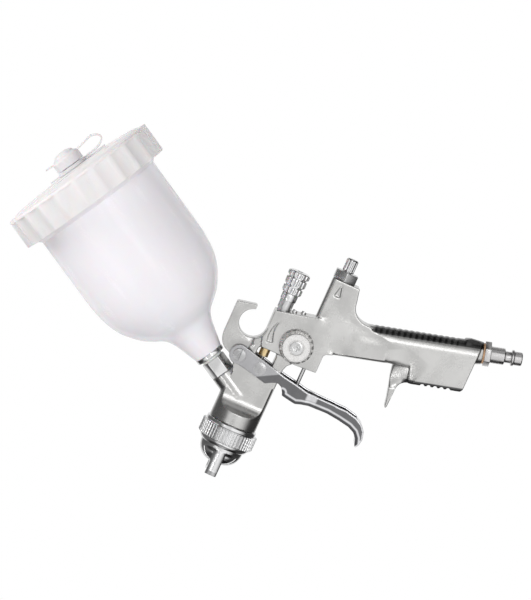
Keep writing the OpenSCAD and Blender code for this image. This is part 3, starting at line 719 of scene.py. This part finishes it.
def make_lid():
    place = joint_place("cup_turn")
    low, crown, radius = reach("cup_lid", place)
    top = crown - 3.4
    flute = 1.3
    rows = [(low, 47.8), (low, radius - 2.2), (low + 0.1, radius - 0.4, 0.9 * flute),
            (low + 0.5, radius, flute), (top - 3.0, radius, flute),
            (top - 2.3, radius, flute * 0.6), (top - 1.9, radius, 0.1 * flute),
            (top - 0.8, radius - 0.1), (top - 0.3, radius - 0.5),
            (top, radius - 1.2), (top, radius - 4.4)]
    rows += [(top + (crown - top) * math.sin(a) ** 0.9, 2.6 + (radius - 7.6) * math.cos(a))
             for a in np.linspace(0.02, math.pi / 2, 14)]
    rows += [(top - 0.4, 2.6), (top - 0.4, 14), (low + 18.6, 41),
             (low + 18.6, 47.8)]
    return lathe("lid_fluted", rows, place, "cup_lid", LID, 24 * 16, scallop(24),
                 sharp=math.radians(50))


def make_strap():
    """The soft loop from the lid to the vent's cap, swept as one fixed piece."""
    place = joint_place("cup_turn")
    low, high, _ = reach("vent_strap", place)
    middle = low + 5.4
    turn = np.radians(np.linspace(64, -90, 30))
    centre = 16.5
    path = [(9.9, high - 2.3)]
    path += [(centre + 9.55 * math.cos(a), middle + 4.55 * math.sin(a)) for a in turn]
    path += [(10.2, low + 0.6)]
    path = smooth_line(path, 3)
    half_w, half_t = 1.45, 0.6
    ring = [tuple(math.copysign(abs(c) ** 0.6, c) for c in (math.cos(a), math.sin(a)))
            for a in np.radians(np.arange(0, 360, 30))]
    points, faces = [], []
    for i, (x, z) in enumerate(path):
        ahead = np.array(path[min(i + 1, len(path) - 1)]) - np.array(path[max(i - 1, 0)])
        ahead /= np.linalg.norm(ahead)
        points += [(x - ahead[1] * half_t * v, half_w * u, z + ahead[0] * half_t * v) for u, v in ring]
    n = len(ring)
    for i in range(len(path) - 1):
        a, b = i * n, (i + 1) * n
        faces += [(a + k, a + (k + 1) % n, b + (k + 1) % n, b + k) for k in range(n)]
    faces += [tuple(range(n - 1, -1, -1)), tuple(range((len(path) - 1) * n, len(path) * n))]
    mesh = mesh_at("vent_loop", place, points, faces)
    strap = finish_piece("vent_loop", mesh, "vent_strap", SOFT, math.radians(50), rides=False)
    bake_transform(strap)


def make_spring(node):
    """A copy of the coil, riding on its node's body."""
    coil = frame["nodes"][node].data.copy()
    spring = finish_piece(node + "_coil", coil, node, STEEL, math.radians(60))
    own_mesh(spring)


def make_dial():
    place = along((0, -1, 0), JOINTS["fan_turn"]["pos_m"])
    low, high, radius = reach("fan_dial", place)
    rows = [(low, 3.4), (low, radius - 0.3), (low + 0.3, radius), (low + 1.2, radius),
            (low + 1.6, radius - 0.2, 0.35), (high - 1.4, radius - 1.5, 0.35),
            (high - 0.9, radius - 1.6, 0.05), (high - 0.2, radius - 1.9), (high, radius - 2.2),
            (high, 8.3), (high - 0.2, 8.2), (high - 0.2, 5.2), (high, 5.1), (high, 4.8),
            (high - 0.7, 4.6), (high - 0.7, 1.5), (low, 1.5)]
    return lathe("spread_dial", rows, place, "fan_dial", DIAL, 18 * 12, scallop(18))


PALE = (0.95, 0.95, 0.95)


def make_floor():
    """A plain pale floor, well under the hanging gun."""
    lo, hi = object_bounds()
    drop, half = 0.26, 0.85
    centre = (lo + hi) / 2
    mesh = bpy.data.meshes.new("floor")
    corners = [(sx * half + centre.x, sy * half + centre.y, lo.z - drop) for sx, sy in
               ((-1, -1), (1, -1), (1, 1), (-1, 1))]
    mesh.from_pydata(corners, [], [(0, 1, 2, 3)])
    floor = bpy.data.objects.new("floor", mesh)
    SCENE.collection.objects.link(floor)
    s = Shader("floor_pale", PALE, roughness=0.7)
    s.gloss(s.noise(60.0), 0.6, 0.8)
    paint(floor, s.material)
    floor.visible_glossy = False    # the metals see a dark studio below, not this


# ---------------------------------------------------------------- light


def soft_box(name, place, target, size, watts):
    data = bpy.data.lights.new(name, "AREA")
    data.shape = "RECTANGLE"
    data.size, data.size_y = size
    data.energy = watts
    lamp = bpy.data.objects.new(name, data)
    lamp.location = place
    lamp.rotation_euler = (Vector(target) - Vector(place)).to_track_quat("-Z", "Y").to_euler()
    SCENE.collection.objects.link(lamp)
    return lamp


CUP_CENTRE = Vector((0.115, 0.0, 0.12))
CUP_UP = Vector((0.5, 0.0, 0.866))          # along the cup's axis
CUP_ACROSS = Vector((0.866, 0.0, -0.5))     # square to it, in the gun's flat plane


def strip_light(name, angle, width, watts):
    """A tall lamp that only shows in gloss: the cup mirrors it as a streak along its side."""
    away, length = 1.5, 0.9
    toward = CUP_ACROSS * math.sin(angle) - Vector((0, 1, 0)) * math.cos(angle)
    lamp = soft_box(name, CUP_CENTRE + toward * away, CUP_CENTRE, (width, length), watts)
    side = CUP_UP.cross(toward).normalized()
    turn = Matrix((side, toward.cross(side).normalized(), toward)).transposed().to_4x4()
    lamp.matrix_world = Matrix.Translation(lamp.location) @ turn
    lamp.visible_diffuse = False


# What the metal sees, going round the gun's long axis in degrees: 0 is beside the camera,
# plus is above the gun, 180 is the backdrop behind it.
ROUND_STOPS = [(-180, 0.8), (-152, 0.8), (-140, 0.05), (-74, 0.03), (-58, 0.45), (-44, 0.85),
               (-20, 1.0), (-8, 0.95), (0, 0.72), (9, 0.75), (24, 0.8), (36, 0.6), (48, 0.16),
               (100, 0.11), (138, 0.14), (152, 0.75), (180, 0.8)]
# and how that fades towards the muzzle (-1) and the back of the gun (1)
ALONG_STOPS = [(-1.0, 0.5), (-0.86, 0.18), (-0.68, 0.95), (-0.3, 0.8), (0.3, 0.85), (0.6, 1.0),
               (0.76, 0.2), (1.0, 0.5)]
STUDIO_STRENGTH = 1.3

# Light for the plastics and the floor, as name, place, size and watts; the metals show the
# studio round them instead
LAMPS = [
    ("front", (0.0, -1.5, 0.4), 0.8, 6.9), ("top", (0.1, -0.1, 1.3), 0.9, 13.5),
    ("muzzle", (-1.4, -0.5, -0.1), 0.8, 3.5), ("low", (1.25, -0.6, -0.6), 0.7, 4.5),
    ("back", (0.2, 1.5, 0.4), 0.8, 9.0),
]


def grey_ramp(tree, source, stops):
    """A grey ramp over a value that runs from the first stop to the last."""
    low, high = stops[0][0], stops[-1][0]
    spread = tree.nodes.new("ShaderNodeMapRange")
    spread.inputs["From Min"].default_value = low
    spread.inputs["From Max"].default_value = high
    tree.links.new(source, spread.inputs["Value"])
    ramp = tree.nodes.new("ShaderNodeValToRGB")
    tree.links.new(spread.outputs["Result"], ramp.inputs["Fac"])
    band = ramp.color_ramp
    band.interpolation = "EASE"
    while len(band.elements) < len(stops):
        band.elements.new(0.5)
    for element, (at, value) in zip(band.elements, stops):
        element.position = (at - low) / (high - low)
        element.color = (value, value, value, 1.0)
    return ramp.outputs["Color"]


def make_studio():
    """White backdrop for the eye, and a studio of soft boxes and dark wings for the metal."""
    world = bpy.data.worlds.new("studio")
    SCENE.world = world
    world.use_nodes = True
    tree = world.node_tree
    tree.nodes.clear()
    link = tree.links.new

    way = tree.nodes.new("ShaderNodeTexCoord")
    split = tree.nodes.new("ShaderNodeSeparateXYZ")
    link(way.outputs["Generated"], split.inputs["Vector"])
    nearer = math_node(tree, "MULTIPLY", split.outputs["Y"], -1.0)
    angle = math_node(tree, "ARCTAN2", split.outputs["Z"], nearer)
    around = grey_ramp(tree, math_node(tree, "MULTIPLY", angle, math.degrees(1.0)), ROUND_STOPS)
    light = math_node(tree, "MULTIPLY", around, grey_ramp(tree, split.outputs["X"], ALONG_STOPS))
    studio = tree.nodes.new("ShaderNodeBackground")
    studio.inputs["Strength"].default_value = STUDIO_STRENGTH
    link(light, studio.inputs["Color"])
    white = tree.nodes.new("ShaderNodeBackground")
    white.inputs["Color"].default_value = (1, 1, 1, 1)
    eye = tree.nodes.new("ShaderNodeLightPath")
    mix = tree.nodes.new("ShaderNodeMixShader")
    link(eye.outputs["Is Camera Ray"], mix.inputs["Fac"])
    link(studio.outputs["Background"], mix.inputs[1])
    link(white.outputs["Background"], mix.inputs[2])
    out = tree.nodes.new("ShaderNodeOutputWorld")
    link(mix.outputs["Shader"], out.inputs["Surface"])
    for name, spot, size, watts in LAMPS:
        soft_box(name, spot, CENTRE, (size, size), watts).visible_glossy = False
    strip_light("narrow_strip", math.radians(-30), 0.05, 0.7)
    strip_light("wide_strip", math.radians(17), 0.2, 1.5)
    SCENE.view_settings.view_transform = "Standard"


make_camera()
paint_nodes()
soften("gun_body", "body_casting", CAST, voxel=0.45, passes=4, shape=shape_body)
make_cap_ring()
make_fluid_knob()
make_micrometer()
make_cup()
make_lid()
make_dial()
make_strap()
make_spring("needle_spring")
make_spring("air_valve_spring")
soften("trigger", "trigger_blade", TRIGGER, voxel=0.35, passes=7, shape=shape_trigger)
soften("air_cap", "air_cap_horned", CAP, voxel=0.25, passes=3, shape=shape_cap)
soften("vent_cap", "vent_cap_soft", SOFT, voxel=0.3, passes=3)
soften("vent_base", "vent_base_soft", SOFT, voxel=0.25, passes=2)
for node, material, width in (
        ("cup_adapter", NECK, 0.4), ("cup_bush", NECK, 0.4), ("air_valve_nut", STEEL, 0.4),
        ("air_inlet_plug", PLUG, 0.35), ("fluid_lock_ring", CHROME, 0.4),
        ("trigger_pivot_screw", PIN, 0.4), ("trigger_pivot_pin", PIN, 0.4),
        ("needle_pusher", PIN, 0.3), ("fan_dial_screw", STEEL, 0.2), ("passage_plugs", STEEL, 0.3)):
    crisp(node, node + "_edged", material, width)
make_floor()
make_studio()
